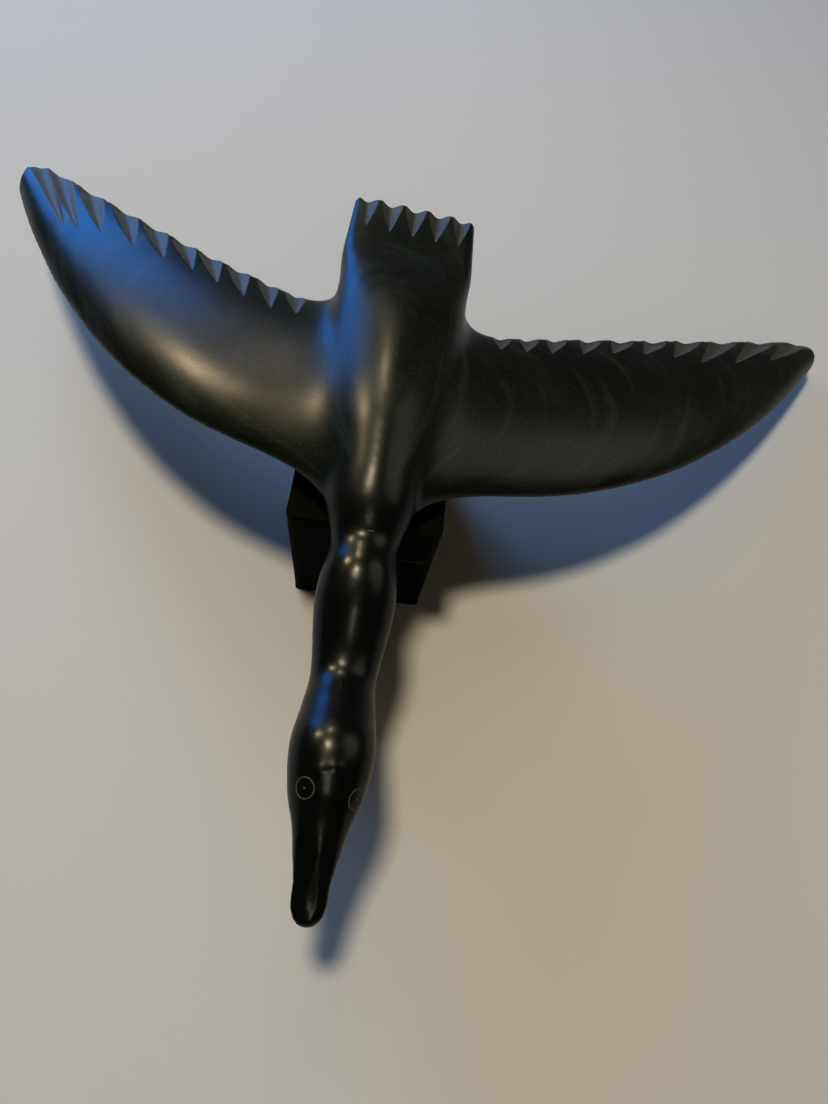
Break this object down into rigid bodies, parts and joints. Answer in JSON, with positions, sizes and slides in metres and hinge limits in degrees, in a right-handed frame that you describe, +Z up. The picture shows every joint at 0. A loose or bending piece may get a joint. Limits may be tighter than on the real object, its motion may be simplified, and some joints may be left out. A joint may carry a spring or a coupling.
{
  "type": "soapstone bird carving on a plinth",
  "caption": "Polished soapstone carving of a water bird in flight with spread, fluted wings, resting on a dark block plinth.",
  "frame": {"origin": "centre of the plinth's underside, on the surface that the carving stands on", "axes": "+Z up; the bird looks along -Y, so its right wing reaches to -X and its left wing to +X"},
  "size_m": [0.2706, 0.215, 0.0598],
  "materials": {
    "bird_stone": "polished dark olive-black soapstone",
    "plinth_stone": "sawn and rubbed near-black stone, satin"
  },
  "bodies": {
    "root": {"bird": "bird_stone", "plinth": "plinth_stone"}
  },
  "joints": []
}
